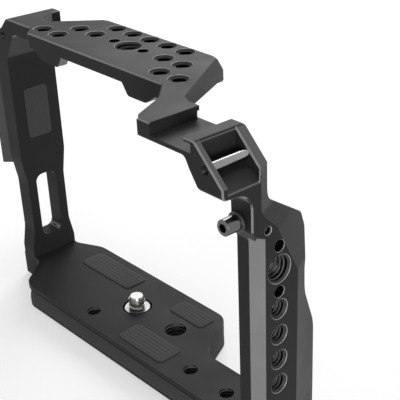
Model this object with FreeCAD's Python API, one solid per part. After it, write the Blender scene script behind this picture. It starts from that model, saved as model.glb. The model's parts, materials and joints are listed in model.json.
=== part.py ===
import FreeCAD, Part
import math
import os

# Camera cage: a milled aluminium frame that bolts round a mirrorless camera.
# +X is the grip side (right, seen from behind), +Y the way the lens looks, +Z up.
# The origin is on the underside of the base, on the axis of the camera screw.

# Overall frame
frame_height = 109.5
base_thickness = 10.0
top_thickness = 5.0
rear_y = -32.35
base_rear_y = -20.0
base_front_y = 18.0
right_face_x = 85.7
right_wall = 8.7
left_face_x = -66.0
left_wall = 7.5
edge_break = 0.45

# Top plate
grid_y = 5.0
hole_pitch = 9.0
plate_front_y = 17.8
plate_rear_y = -10.7
plate_half_front = 27.5
plate_corner = (31.2, 14.6)
plate_waist = (48.4, -12.4)
bevel_width = 3.4
bevel_drop = 2.7
hump_half_width = 29.0
hump_web = 4.4
lip_thickness = 3.5
lip_drop = 2.3
lip_end_r = 3.2
rib_inner_x = 19.0
rib_outer_x = 34.0
rib_thickness = 3.6
rib_drop = 3.3

# Threaded and locating holes: tapping radius and the radius of the countersunk rim
quarter_r = 2.55
quarter_rim_r = 3.5
three_eighth_r = 4.0
three_eighth_rim_r = 4.78
locating_r = 1.86
locating_rim_r = 2.1
locating_offset = 7.6
small_thread_r = 1.05
small_thread_rim_r = 1.5
small_thread_depth = 4.0
small_thread_side = 4.5
small_thread_drop = 28.3

# Cold shoe
shoe_centre_x = 63.8
shoe_channel_width = 19.0
shoe_opening_width = 13.7
shoe_lip = 1.44
shoe_channel_depth = 3.74
shoe_floor = 1.66
shoe_length = 18.0
shoe_left_wall = 2.7

# Strap blocks
slope_run = 10.6
right_block_height = 13.8
pocket_wall = 2.0
pocket_depth = 8.2
pocket_sill = 12.3
pocket_corner_r = 1.0
right_pocket_rear = 2.25
right_pocket_length = 12.4
rim_break = 0.45
strap_pin_r = 1.5
strap_pin_inset = 6.7
strap_pin_drop = 6.7
strap_pin_bite = 1.6
strap_pin_sink = 1.2

# Right column
column_hole_y = -11.5
column_big_hole_drop = 42.4
column_first_hole_drop = 56.0
column_hole_count = 4
column_rear_y = -20.0
neck_rear_y = -22.0
neck_front_y = -14.35
flare_angle = 25.0
ridge_reach = 7.7
foot_reach = 15.5
foot_bend_drop = 74.0
waist_low_drop = 57.0
waist_high_drop = 47.5
rear_bevel_x = 3.6
rear_bevel_y = 2.9
lug_inset = 4.7
lug_drop = 24.5

# Left column
left_rear_y = -6.7
left_front_y = 13.0
arm_front_y = 3.0
left_pocket_length = 11.5
window_height = 27.0
window_width = 9.0
window_bottom = 18.0

# Accessory rail on the left column
rail_length = 52.0
rail_width = 21.2
rail_neck_width = 15.4
rail_neck_height = 1.8
rail_height = 6.6
rail_top_bevel = 1.4
rail_slot_width = 4.0
rail_slot_depth = 1.4
rail_sink = 0.2
rail_bottom = 49.0
rail_screw_r = 1.5
rail_head_r = 2.9
rail_head_height = 1.5
rail_screw_length = 11.0
rail_screw_spacing = 32.0
rail_socket_r = 1.15
rail_socket_depth = 1.1
rail_stop_r = 1.5
rail_stop_head_r = 2.6
rail_stop_head_height = 1.7
rail_stop_length = 5.0
rail_stop_inset = 3.2

# Base outline and dovetail
base_seat_right = 30.0
base_seat_left = -46.0
dovetail_lip = 1.6
dovetail_depth = 2.7
dovetail_flat = 1.3

# Tripod threads in the base, as (x, y)
base_large_threads = [(22.0, 0.0)]
base_small_threads = [(-9.0, -13.5), (44.0, -12.0), (62.0, -12.0)]

# Base joint
joint_screw_r = 2.0
joint_head_r = 3.9
joint_head_height = 2.1
joint_screw_length = 19.0
joint_sink = 0.3
joint_socket_r = 1.44
joint_socket_depth = 1.6
joint_inset = 4.5
right_joint_spacing = 11.0
dowel_r = 1.5
dowel_inset = 2.8
right_dowel_reach = 21.5
dowel_length = 9.0

# Camera screw and its captive clip
screw_head_r = 7.5
screw_head_height = 3.0
screw_thread_r = 3.15
screw_neck_r = 2.4
screw_travel = 3.8
screw_reach = 4.8
screw_sink = 0.3
head_gap = 0.5
clip_r = 4.7
clip_thickness = 0.8
clip_gap = 0.1
clip_sink = 0.1
recess_r = 5.5
screw_lead = 0.8
screw_side_gap = 0.15
coin_slot_width = 1.8
coin_slot_depth = 1.5

# Lug locking screw
lug_head_r = 2.45
lug_head_length = 4.7
lug_thread_r = 1.45
lug_thread_length = 8.0
lug_washer_r = 3.1
lug_washer_thickness = 0.5
lug_stand_off = 1.3
lug_socket_r = 1.44
lug_socket_depth = 2.2
lug_head_bevel = 0.25
running_gap = 0.05

# Stored slot driver
driver_length = 38.0
driver_width = 6.4
driver_thickness = 3.2
driver_tip = 5.0
driver_blade = 1.4
driver_eye_r = 1.5
driver_eye_inset = 4.5
driver_gap = 0.4
driver_sink = 0.3
magnet_r = 2.5
magnet_thickness = 1.6
magnet_spacing = 24.0
driver_centre = (-33.0, 0.0)

# Pads
pad_thickness = 1.6
pad_sink = 1.0
right_pad_rise = 20.0
right_pad_clearance = 4.0
right_pad_reach = 12.6
right_pad_width = 7.0
left_pad_rise = 12.0
left_pad_length = 20.0
left_pad_width = 10.0
base_pad_margin = 3.5
base_pad_width = 10.0
driver_pad_left = -42.0
driver_pad_right = -12.0
grip_pad_left = 10.0
rear_pad_right = 34.0
front_pad_right = 28.0


def on_xy(z):
    return lambda a, b: FreeCAD.Vector(a, b, z)


def on_xz(y):
    return lambda a, b: FreeCAD.Vector(a, y, b)


def on_yz(x):
    return lambda a, b: FreeCAD.Vector(x, a, b)


def outline(corners, place):
    """Closed face through corners given as (a, b) or (a, b, radius of the round)."""
    points = [place(corner[0], corner[1]) for corner in corners]
    radii = [corner[2] if len(corner) > 2 else 0.0 for corner in corners]
    edges = []
    starts = []
    ends = []
    for index, here in enumerate(points):
        back = (points[index - 1] - here).normalize()
        onward = (points[(index + 1) % len(points)] - here).normalize()
        half = back.getAngle(onward) / 2.0
        radius = radii[index]
        if radius == 0.0:
            starts.append(here)
            ends.append(here)
            edges.append(None)
            continue
        reach = radius / math.tan(half)
        middle = here + (back + onward).normalize() * (radius / math.sin(half) - radius)
        starts.append(here + back * reach)
        ends.append(here + onward * reach)
        edges.append(Part.Arc(starts[-1], middle, ends[-1]).toShape())
    wire = []
    for index in range(len(points)):
        if edges[index] is not None:
            wire.append(edges[index])
        following = (index + 1) % len(points)
        if ends[index].distanceToPoint(starts[following]) > 1e-6:
            wire.append(Part.makeLine(ends[index], starts[following]))
    return Part.Face(Part.Wire(wire))


def prism(corners, place, along):
    return outline(corners, place).extrude(FreeCAD.Vector(*along))


def box(low, high):
    size = [b - a for a, b in zip(low, high)]
    return Part.makeBox(size[0], size[1], size[2], FreeCAD.Vector(*low))


def cylinder(radius, length, start, along):
    return Part.makeCylinder(radius, length, FreeCAD.Vector(*start), FreeCAD.Vector(*along))


def cone(r_start, r_end, length, start, along):
    return Part.makeCone(r_start, r_end, length, FreeCAD.Vector(*start), FreeCAD.Vector(*along))


def fused(shapes):
    return shapes[0].multiFuse(shapes[1:]).removeSplitter()


def rimmed_hole(radius, rim_radius, depth, mouth, inward):
    """Cutter for a hole with a 45 degree countersunk rim; inward points into the metal."""
    lead = 1.0
    start = [m - lead * d for m, d in zip(mouth, inward)]
    rim = cone(rim_radius + lead, radius, rim_radius + lead - radius, start, inward)
    return rim.fuse(cylinder(radius, depth + lead, start, inward))


def broken_edges(shape, size, wanted):
    """The shape with a small bevel on every edge that the test picks."""
    picked = [edge for edge in shape.Edges if wanted(edge)]
    return shape.makeChamfer(size, picked)


# Places that several pieces share
right_inner_x = right_face_x - right_wall
left_inner_x = left_face_x + left_wall
top_z = frame_height
lip_x = shoe_centre_x - shoe_opening_width / 2.0
channel_left_x = shoe_centre_x - shoe_channel_width / 2.0
channel_right_x = shoe_centre_x + shoe_channel_width / 2.0
block_left_x = shoe_centre_x + shoe_opening_width / 2.0
shoe_front_y = rear_y + shoe_length
slope_top_x = right_face_x - slope_run
left_slope_top_x = left_face_x + slope_run
right_pin_x = right_face_x - strap_pin_inset
left_pin_x = left_face_x + strap_pin_inset
strap_pin_z = top_z - strap_pin_drop
big_hole_z = top_z - column_big_hole_drop
lug_z = top_z - lug_drop
column_hole_z = [top_z - column_first_hole_drop - hole_pitch * i for i in range(column_hole_count)]
clip_z = base_thickness - clip_sink - clip_thickness
screw_web_top = clip_z - screw_travel - clip_sink
right_joint_x = right_inner_x + right_wall / 2.0
left_joint_x = left_face_x + left_wall / 2.0
right_joint_y = (column_rear_y + joint_inset, column_rear_y + joint_inset + right_joint_spacing)
left_joint_y = (left_rear_y + joint_inset, left_front_y - joint_inset)
right_dowel = (right_inner_x + dowel_inset, column_rear_y + right_dowel_reach)
left_middle_y = (left_rear_y + left_front_y) / 2.0
rail_outer_x = left_face_x - rail_height
lug_x = right_face_x - lug_inset
lug_wall_start = neck_rear_y - lug_stand_off
foot_front_y = column_hole_y + ridge_reach + foot_reach


def top_hole_places():
    """The grid of 1/4 inch threads on the top plate, as (x, y)."""
    places = [(hole_pitch * i, grid_y + hole_pitch) for i in range(-2, 3)]
    for side in (-1, 1):
        places += [(side * hole_pitch * i, grid_y) for i in (2, 3)]
        places += [(side * hole_pitch * i, grid_y - hole_pitch) for i in (3, 4)]
    return places


def plate_outer_corner():
    """Lower outer end of the bevelled side, where the side wall meets the front."""
    return (plate_corner[0] + bevel_width, plate_corner[1] + 0.9)


def top_outline():
    """Plan of the top plate with its arms to the shoe and to the left column."""
    outer = plate_outer_corner()
    right = [(plate_half_front, plate_front_y, 2.0),
             (outer[0], outer[1], 1.5),
             (plate_waist[0], plate_waist[1]),
             (plate_waist[0] + 4.0, shoe_front_y),
             (lip_x, shoe_front_y, 1.4),
             (lip_x, rear_y),
             (channel_left_x - 2.0, rear_y, 1.5),
             (channel_left_x - 5.0, rear_y + 2.4, 1.5),
             (plate_waist[0] - 4.8, plate_rear_y - 7.6, 2.0),
             (plate_waist[0] - 12.4, plate_rear_y, 1.5)]
    left_reach = left_slope_top_x + 4.0
    left = [(left_reach, left_rear_y),
            (left_reach, left_front_y - 3.5),
            (left_reach + 0.5, left_front_y - 3.5),
            (left_reach + 5.0, arm_front_y, 2.0),
            (-arm_start()[0], arm_front_y),
            (-outer[0], outer[1], 1.5),
            (-plate_half_front, plate_front_y, 2.0)]
    rear_step = [(-plate_waist[0] + 12.4, plate_rear_y, 2.0),
                 (-plate_waist[0] + 8.4, left_rear_y, 2.0)]
    return right + rear_step + left


def top_slab():
    slab = prism(top_outline(), on_xy(top_z - top_thickness), (0, 0, top_thickness))
    shoe_side = box((channel_left_x - shoe_left_wall, rear_y - 1.0, 0),
                    (right_face_x, shoe_front_y + 1.0, top_z - shoe_channel_depth - shoe_floor))
    return slab.cut(shoe_side)


def arm_start():
    """Where the left arm's front edge leaves the slanted side of the plate."""
    outer = plate_outer_corner()
    side_slope = (plate_waist[0] - outer[0]) / (outer[1] - plate_waist[1])
    return (outer[0] + (outer[1] - arm_front_y) * side_slope, arm_front_y)


def side_bevel(side, rear_corner):
    """Cutter for the wedge-shaped bevel that widens towards the front of the plate."""
    rear = FreeCAD.Vector(rear_corner[0], rear_corner[1], top_z)
    front = FreeCAD.Vector(plate_corner[0], plate_corner[1], top_z)
    low = FreeCAD.Vector(plate_outer_corner()[0], plate_outer_corner()[1], top_z - bevel_drop)
    along = (front - rear).normalize()
    normal = (low - rear).cross(along).normalize()
    if normal.z < 0:
        normal = normal * -1
    across = along.cross(normal).normalize()
    reach = 14.0
    far = front + along * 12.0
    corners = [rear - across * reach, rear + across * reach, far + across * reach, far - across * reach]
    wedge = Part.Face(Part.makePolygon(corners + corners[:1])).extrude(normal * 8.0)
    if side < 0:
        wedge = wedge.mirror(FreeCAD.Vector(0, 0, 0), FreeCAD.Vector(1, 0, 0))
    return wedge


def hump_relief():
    """Room under the plate for the camera's finder hump."""
    inside = plate_front_y - lip_thickness
    return box((-hump_half_width, plate_rear_y - 1.0, top_z - top_thickness - 1.0),
               (hump_half_width, inside - 4.0, top_z - hump_web))


def front_lip():
    """Lip that hangs from the front edge of the plate, with its two ends rounded."""
    reach = plate_outer_corner()[0] + 0.2
    inside = plate_front_y - lip_thickness
    low = top_z - top_thickness - lip_drop
    plan = prism(top_outline(), on_xy(low), (0, 0, lip_drop + 1.0))
    front_view = [(-reach, top_z),
                  (-reach, low, lip_end_r),
                  (reach, low, lip_end_r),
                  (reach, top_z)]
    return plan.common(prism(front_view, on_xz(inside), (0, lip_thickness + 1.0, 0)))


def hump_rib(side):
    """Rib under the rear edge of the plate, beside the room for the finder hump."""
    under = top_z - top_thickness
    rear_view = [(side * (rib_inner_x - 3.0), under + 1.0),
                 (side * rib_inner_x, under - rib_drop, 1.5),
                 (side * (rib_outer_x - 6.0), under - rib_drop, 4.0),
                 (side * rib_outer_x, under + 1.0)]
    return prism(rear_view, on_xz(plate_rear_y), (0, rib_thickness, 0))


def right_section():
    """Section across the frame: shoe, strap block and right column, as (x, z)."""
    floor_z = top_z - shoe_channel_depth
    under_z = floor_z - shoe_floor
    block_low = top_z - right_block_height
    return [(channel_left_x - shoe_left_wall, top_z),
            (lip_x, top_z),
            (lip_x, top_z - shoe_lip),
            (channel_left_x, top_z - shoe_lip),
            (channel_left_x, floor_z),
            (channel_right_x, floor_z),
            (channel_right_x, top_z - shoe_lip),
            (block_left_x, top_z - shoe_lip),
            (block_left_x, top_z),
            (slope_top_x, top_z),
            (right_face_x, top_z - slope_run),
            (right_face_x, base_thickness),
            (right_inner_x, base_thickness),
            (right_inner_x, block_low - 1.4, 5.0),
            (right_inner_x - 4.5, under_z - 3.2, 4.0),
            (right_inner_x - 6.2, under_z, 2.0),
            (channel_left_x - shoe_left_wall, under_z)]


def right_side_view():
    """Outline of the right side seen from +X: block, lug scallop, neck, flare and column."""
    block_low = top_z - right_block_height
    return [(rear_y, top_z + 1.0),
            (rear_y, block_low, 1.5),
            (neck_rear_y, block_low - 1.2, 5.6),
            (neck_rear_y, lug_z - 2.5, 2.0),
            (column_rear_y, lug_z - 6.5, 2.0),
            (column_rear_y, base_thickness),
            (foot_front_y, base_thickness),
            (foot_front_y - 0.7, top_z - foot_bend_drop, 14.0),
            (2.2, top_z - waist_low_drop, 14.0),
            (1.9, top_z - waist_high_drop, 12.0),
            (5.6, top_z - 37.0, 3.0),
            (4.6, top_z - 32.4, 2.5),
            (neck_front_y, top_z - 19.6, 6.0),
            (neck_front_y, top_z + 1.0)]


def flare_cut():
    """Cutter for the front of the right side, which turns inwards by the flare angle."""
    turn = math.radians(flare_angle)
    edge_y = neck_front_y - 4.15
    ridge_y = column_hole_y + ridge_reach
    region = [(edge_y, top_z + 2.0),
              (edge_y, top_z - 22.4, 5.0),
              (ridge_y - 8.6, top_z - 28.4, 5.0),
              (ridge_y, top_z - 45.9, 3.0),
              (ridge_y, base_thickness - 1.0),
              (60.0, base_thickness - 1.0),
              (60.0, top_z + 2.0)]
    inward = (-math.sin(turn) * 60.0, math.cos(turn) * 60.0, 0)
    return prism(region, on_yz(right_face_x), inward)


def column_rear_bevel():
    """Cutter for the wide bevel down the rear outer corner of the right column."""
    start_z = lug_z - 6.0
    run_x = rear_bevel_x
    run_y = rear_bevel_y
    over = 0.5
    corners = [(right_face_x - run_x - over * run_x / run_y, column_rear_y - over),
               (right_face_x + over, column_rear_y - over),
               (right_face_x + over, column_rear_y + run_y + over * run_y / run_x)]
    long_cut = prism(corners, on_xy(base_thickness - 1.0), (0, 0, start_z - base_thickness + 1.0))
    big = outline(corners, on_xy(start_z)).OuterWire
    small = [(right_face_x + over - 0.1, column_rear_y - over),
             (right_face_x + over, column_rear_y - over),
             (right_face_x + over, column_rear_y - over + 0.1)]
    tip = outline(small, on_xy(start_z + 2.2)).OuterWire
    return long_cut.fuse(Part.makeLoft([big, tip], True, True))


def strap_pocket(face_x, side, low_y, high_y, clipped):
    """Cutter for the pocket that a strap loops through, open on the sloping corner."""
    inner_x = face_x - side * (slope_run - 0.2)
    past_x = face_x + side * 1.5
    section = [(inner_x, top_z + 1.0),
               (inner_x, top_z - pocket_depth, 1.2),
               (face_x, top_z - pocket_sill),
               (past_x, top_z - pocket_sill - 0.7),
               (past_x, top_z + 1.0)]
    hollow = prism(section, on_xz(low_y), (0, high_y - low_y, 0))
    plan = [(inner_x - side * 0.5, low_y),
            (past_x, low_y),
            (past_x, high_y - clipped - 1.5 * (clipped > 0)),
            (face_x - side * clipped, high_y, pocket_corner_r),
            (inner_x - side * 0.5, high_y)]
    if clipped == 0:
        plan = plan[:2] + [(past_x, high_y), plan[4]]
    return hollow.common(prism(plan, on_xy(top_z - 20.0), (0, 0, 25.0)))


def rim_bevel(corners, place, outward):
    """Cutter that breaks the rim of an opening; outward points away from the metal."""
    rim = outline(corners, place).OuterWire
    away = FreeCAD.Vector(*outward).normalize() * rim_break
    low = rim.copy()
    low.translate(away * -1)
    high = rim.makeOffset2D(2 * rim_break, 2)
    high.translate(away)
    return Part.makeLoft([low, high], True, True)


def pocket_rims(face_x, side, low_y, high_y, clipped):
    """Bevels round a strap pocket, on the sloping corner and on the outer face."""
    inner_x = face_x - side * (slope_run - 0.2)
    low_x = face_x + side * 1.2
    plan = [(inner_x, low_y), (low_x, low_y), (low_x, high_y - clipped), (inner_x, high_y)]
    if clipped > 0:
        plan[2:3] = [(low_x, high_y - clipped - 1.2), (face_x - side * clipped, high_y)]

    def on_slope(x, y):
        return FreeCAD.Vector(x, y, top_z - abs(x - face_x + side * slope_run))

    sill = top_z - pocket_sill
    face = [(low_y, sill), (high_y - clipped, sill), (high_y - clipped, sill + 3.0), (low_y, sill + 3.0)]
    return [rim_bevel(plan, on_slope, (side, 0, 1)), rim_bevel(face, on_yz(face_x), (side, 0, 0))]


def left_section():
    """Section of the left shoulder and column, as (x, z)."""
    under_z = top_z - top_thickness
    return [(left_slope_top_x + 4.5, top_z),
            (left_slope_top_x, top_z),
            (left_face_x, top_z - slope_run),
            (left_face_x, base_thickness),
            (left_inner_x, base_thickness),
            (left_inner_x, top_z - right_block_height - 2.0, 5.0),
            (left_inner_x + 6.5, under_z, 3.0),
            (left_slope_top_x + 4.5, under_z)]


def left_side_view():
    """Outline of the left column seen along X, as (y, z)."""
    waist = 1.6
    return [(left_rear_y, top_z + 1.0),
            (left_rear_y, rail_bottom + 4.0, 10.0),
            (left_rear_y + waist, rail_bottom - 6.0, 10.0),
            (left_rear_y + waist, base_thickness + 12.0, 10.0),
            (left_rear_y, base_thickness + 4.0, 6.0),
            (left_rear_y, base_thickness),
            (left_front_y, base_thickness),
            (left_front_y, base_thickness + 4.0, 6.0),
            (left_front_y - waist, base_thickness + 12.0, 10.0),
            (left_front_y - waist, rail_bottom - 6.0, 10.0),
            (left_front_y, rail_bottom + 4.0, 10.0),
            (left_front_y, top_z + 1.0)]


def left_side():
    depth = left_front_y - left_rear_y
    body = prism(left_section(), on_xz(left_rear_y), (0, depth, 0))
    view = prism(left_side_view(), on_yz(left_face_x - 1.0), (40.0, 0, 0))
    window = prism([(left_middle_y - window_width / 2.0, window_bottom, 3.0),
                    (left_middle_y + window_width / 2.0, window_bottom, 3.0),
                    (left_middle_y + window_width / 2.0, window_bottom + window_height, 3.0),
                    (left_middle_y - window_width / 2.0, window_bottom + window_height, 3.0)],
                   on_yz(left_face_x - 1.0), (left_wall + 2.0, 0, 0))
    return body.common(view).cut(window)


def right_side():
    depth = 60.0
    body = prism(right_section(), on_xz(rear_y - 1.0), (0, depth, 0))
    start_x = channel_left_x - shoe_left_wall - 1.0
    view = prism(right_side_view(), on_yz(start_x), (right_face_x + 1.0 - start_x, 0, 0))
    return body.common(view).cut(flare_cut()).cut(column_rear_bevel())


def top_cuts():
    """Threads and locating holes of the top plate."""
    down = (0, 0, -1)
    through = top_thickness + 1.0
    cuts = [rimmed_hole(three_eighth_r, three_eighth_rim_r, through, (0, grid_y, top_z), down)]
    for x, y in top_hole_places():
        depth = top_thickness - 0.4 if y > grid_y else through
        cuts.append(rimmed_hole(quarter_r, quarter_rim_r, depth, (x, y, top_z), down))
    for x in (-locating_offset, locating_offset):
        cuts.append(rimmed_hole(locating_r, locating_rim_r, through, (x, grid_y, top_z), down))
    return cuts


def column_cuts():
    """Threads and locating holes of the right column."""
    inward = (-1, 0, 0)
    through = right_wall + 1.0
    face = right_face_x
    y = column_hole_y
    cuts = [rimmed_hole(three_eighth_r, three_eighth_rim_r, through, (face, y, big_hole_z), inward)]
    for z in column_hole_z:
        cuts.append(rimmed_hole(quarter_r, quarter_rim_r, through, (face, y, z), inward))
    for z in (big_hole_z - locating_offset, big_hole_z + locating_offset):
        cuts.append(rimmed_hole(locating_r, locating_rim_r, through, (face, y, z), inward))
    mouth = (face, y - small_thread_side, top_z - small_thread_drop)
    cuts.append(rimmed_hole(small_thread_r, small_thread_rim_r, small_thread_depth, mouth, inward))
    lug_mouth = (lug_x, neck_rear_y - 1.0, lug_z)
    cuts.append(cylinder(lug_thread_r + running_gap, lug_thread_length + 3.0, lug_mouth, (0, 1, 0)))
    return cuts


def pin_and_screw_cuts():
    """Holes for the strap pins, the base joint and the rail screws."""
    right_mouth = (right_pin_x, rear_y - 0.1, strap_pin_z)
    left_mouth = (left_pin_x, left_rear_y - 0.1, strap_pin_z)
    cuts = [cylinder(strap_pin_r, strap_pin_length(1) + 0.4, right_mouth, (0, 1, 0)),
            cylinder(strap_pin_r, strap_pin_length(-1) + 0.4, left_mouth, (0, 1, 0))]
    start_z = base_thickness - 1.0
    for x, y in joint_places():
        cuts.append(cylinder(joint_screw_r, joint_screw_length - start_z, (x, y, start_z), (0, 0, 1)))
    for x, y in dowel_places():
        cuts.append(cylinder(dowel_r, dowel_length / 2.0 + 1.0, (x, y, start_z), (0, 0, 1)))
    rail_bite = rail_screw_length - rail_height + 0.5
    for y, z in rail_screw_places():
        cuts.append(cylinder(rail_screw_r, rail_bite + 1.0, (left_face_x - 1.0, y, z), (1, 0, 0)))
    return cuts


def strap_pin_length(side):
    if side > 0:
        return right_pocket_rear + right_pocket_length + strap_pin_bite
    return (left_front_y - left_rear_y + left_pocket_length) / 2.0 + strap_pin_bite


def joint_places():
    places = [(right_joint_x, y) for y in right_joint_y]
    return places + [(left_joint_x, y) for y in left_joint_y]


def dowel_places():
    return [right_dowel, (left_joint_x, left_middle_y)]



def rail_screw_places():
    middle = rail_bottom + rail_length / 2.0
    half = rail_screw_spacing / 2.0
    return [(left_middle_y, middle - half), (left_middle_y, middle + half)]


def top_edge(edge):
    """True for the edges round the top face, apart from those along the shoe."""
    ends = [vertex.Point for vertex in edge.Vertexes]
    at_top = all(abs(end.z - top_z) < 1e-6 for end in ends)
    inside_shoe = all(lip_x - 0.01 < end.x < block_left_x + 0.01 for end in ends)
    corner_x = plate_half_front + 1.0
    on_side = any(abs(end.x) > corner_x and end.y > plate_front_y - 1.2 for end in ends)
    waist_x = plate_waist[0] - 0.1
    at_waist = any(waist_x < end.x < lip_x and end.y > shoe_front_y - 0.1 for end in ends)
    on_side = on_side or at_waist
    beside_arm = any(abs(end.x + arm_start()[0]) < 0.1 for end in ends)
    return at_top and not (inside_shoe or on_side or beside_arm)


def block_edge(edge):
    """True for the rear edges of the shoe and strap block that are not at the top."""
    ends = [vertex.Point for vertex in edge.Vertexes]
    at_rear = all(abs(end.y - rear_y) < 1e-6 for end in ends)
    beside_round = all(end.z < top_z - right_block_height + 1.6 for end in ends)
    on_block = all(end.x > block_left_x - 0.01 for end in ends)
    return at_rear and on_block and not beside_round and not top_edge(edge)


def column_edge(edge):
    """True for the long vertical edges of both columns."""
    if len(edge.Vertexes) != 2:
        return False
    a = edge.Vertexes[0].Point
    b = edge.Vertexes[1].Point
    upright = abs(a.x - b.x) < 1e-6 and abs(a.y - b.y) < 1e-6 and abs(a.z - b.z) > 20.0
    return upright and a.x < left_face_x + 0.01


def scallop_edge(edge):
    """True for the rim of the lug scallop on the outer face of the right side."""
    ends = [vertex.Point for vertex in edge.Vertexes]
    on_face = all(abs(end.x - right_face_x) < 1e-4 for end in ends)
    behind = all(end.y < neck_rear_y + 0.3 for end in ends)
    beside_lug = all(lug_z - 3.5 < end.z < lug_z + 10.5 for end in ends)
    touching = any(abs(end.y - neck_rear_y) < 1e-4 for end in ends)
    return on_face and behind and beside_lug and touching and edge.Length > 0.8


def inner_edge(edge):
    """True for the long upright edges on the inner face of the right column."""
    ends = [vertex.Point for vertex in edge.Vertexes]
    on_face = all(abs(end.x - right_inner_x) < 1e-4 and end.z < lug_z + 5.0 for end in ends)
    return on_face and abs(ends[0].z - ends[-1].z) > 20.0


def shoe_edge(edge):
    """True for the rear edge of the channel under the shoe's left lip."""
    ends = [vertex.Point for vertex in edge.Vertexes]
    at_rear = all(abs(end.y - rear_y) < 1e-4 and end.x < block_left_x + 0.1 for end in ends)
    return at_rear and all(top_z - 8.0 < end.z < top_z - 0.1 for end in ends)


def bevelled_edge(edge):
    """True for every outer edge of the frame that gets the small bevel."""
    tests = (top_edge, block_edge, column_edge, scallop_edge, inner_edge, shoe_edge)
    return any(test(edge) for test in tests)


def right_pad():
    """Silicone pad on the inside of the right column."""
    low = base_thickness + right_pad_rise
    high = big_hole_z - locating_offset - right_pad_clearance
    rear = column_rear_y + right_pad_reach
    front = rear + right_pad_width
    corners = [(rear, low, 1.5), (front, low, 1.5), (front, high, 1.5), (rear, high, 1.5)]
    return prism(corners, on_yz(right_inner_x - pad_thickness + pad_sink), (pad_thickness, 0, 0))


def left_pad():
    """Silicone pad on the inside of the left column."""
    low = rail_bottom + left_pad_rise
    high = low + left_pad_length
    rear = left_middle_y - left_pad_width / 2.0
    front = rear + left_pad_width
    corners = [(rear, low, 1.5), (front, low, 1.5), (front, high, 1.5), (rear, high, 1.5)]
    return prism(corners, on_yz(left_inner_x - pad_sink), (pad_thickness, 0, 0))


def main_frame():
    """Top plate, shoe, strap blocks and both columns, milled from one billet."""
    slab = top_slab().cut(side_bevel(1, plate_waist)).cut(side_bevel(-1, arm_start()))
    slab = slab.fuse(front_lip()).cut(hump_relief())
    body = fused([slab, right_side(), left_side(), hump_rib(1), hump_rib(-1)])
    body = broken_edges(body, edge_break, bevelled_edge)
    pocket_rear = rear_y + right_pocket_rear
    pocket = strap_pocket(right_face_x, 1, pocket_rear, pocket_rear + right_pocket_length, 1.6)
    left_rear = left_middle_y - left_pocket_length / 2.0
    left_pocket = strap_pocket(left_face_x, -1, left_rear, left_rear + left_pocket_length, 0)
    body = body.cut(pocket).cut(left_pocket)
    for cutter in pocket_rims(right_face_x, 1, pocket_rear, pocket_rear + right_pocket_length, 1.6):
        body = body.cut(cutter)
    for cutter in top_cuts() + column_cuts() + pin_and_screw_cuts() + [right_pad(), left_pad()]:
        body = body.cut(cutter)
    return body


def base_outline():
    """Plan of the base: a wide seat behind the lens, narrower towards the grip."""
    foot_x = right_face_x - foot_reach * math.tan(math.radians(flare_angle))
    grip_front_y = grid_y - 7.0
    return [(right_face_x - rear_bevel_x, base_rear_y),
            (right_face_x, base_rear_y + rear_bevel_y),
            (right_face_x, column_hole_y + ridge_reach),
            (foot_x, foot_front_y),
            (right_inner_x - 4.0, foot_front_y, 2.0),
            (right_inner_x - 8.0, grip_front_y, 6.0),
            (base_seat_right + 10.0, grip_front_y, 8.0),
            (base_seat_right, base_front_y, 8.0),
            (base_seat_left, base_front_y, 10.0),
            (left_inner_x + 2.0, left_front_y, 4.0),
            (left_face_x, left_front_y),
            (left_face_x, left_rear_y),
            (left_inner_x + 4.0, left_rear_y, 6.0),
            (base_seat_left + 2.0, base_rear_y, 8.0)]


def dovetail_grooves():
    """The two V grooves that give the base its quick-release dovetail."""
    lip = dovetail_lip
    depth = dovetail_depth
    top = lip + 2 * depth + dovetail_flat
    left_x = left_inner_x + 3.0
    grooves = []
    rear = (base_rear_y, 1, right_inner_x - 1.0)
    front = (base_front_y, -1, base_seat_right + 6.0)
    for edge_y, inward, right_x in (rear, front):
        corners = [(edge_y - inward, lip - 1.0),
                   (edge_y + inward * depth, lip + depth),
                   (edge_y + inward * depth, lip + depth + dovetail_flat),
                   (edge_y - inward, top + 1.0)]
        grooves.append(prism(corners, on_yz(left_x), (right_x - left_x, 0, 0)))
    return grooves


def base_pad(x_from, x_to, y_from, y_to):
    corners = [(x_from, y_from, 2.0), (x_to, y_from, 2.0), (x_to, y_to, 2.0), (x_from, y_to, 2.0)]
    return prism(corners, on_xy(base_thickness - pad_sink), (0, 0, pad_thickness))


def base_pads():
    front = base_front_y - base_pad_margin
    rear = base_rear_y + base_pad_margin - 0.5
    return {"base_pad_left": base_pad(driver_pad_left, driver_pad_right, front - base_pad_width, front),
            "base_pad_rear": base_pad(grip_pad_left, rear_pad_right, rear, rear + base_pad_width),
            "base_pad_front": base_pad(grip_pad_left, front_pad_right, front - 0.8 * base_pad_width, front)}


def driver_pocket():
    half_l = driver_length / 2.0 + driver_gap
    half_w = driver_width / 2.0 + driver_gap
    x, y = driver_centre
    height = driver_sink + driver_thickness + driver_gap
    corners = [(x - half_l, y - half_w, 0.8), (x + half_l, y - half_w, 0.8),
               (x + half_l, y + half_w, 0.8), (x - half_l, y + half_w, 0.8)]
    pocket = prism(corners, on_xy(-1.0), (0, 0, height + 1.0))
    notch = cylinder(half_w + 1.6, height + 1.0, (x, y, -1.0), (0, 0, 1))
    return pocket.fuse(notch)


def magnet_places():
    x, y = driver_centre
    return [(x - magnet_spacing / 2.0, y), (x + magnet_spacing / 2.0, y)]


def tool_magnets():
    z = driver_sink + driver_thickness + driver_gap
    return [cylinder(magnet_r, magnet_thickness, (x, y, z), (0, 0, 1)) for x, y in magnet_places()]


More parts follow.
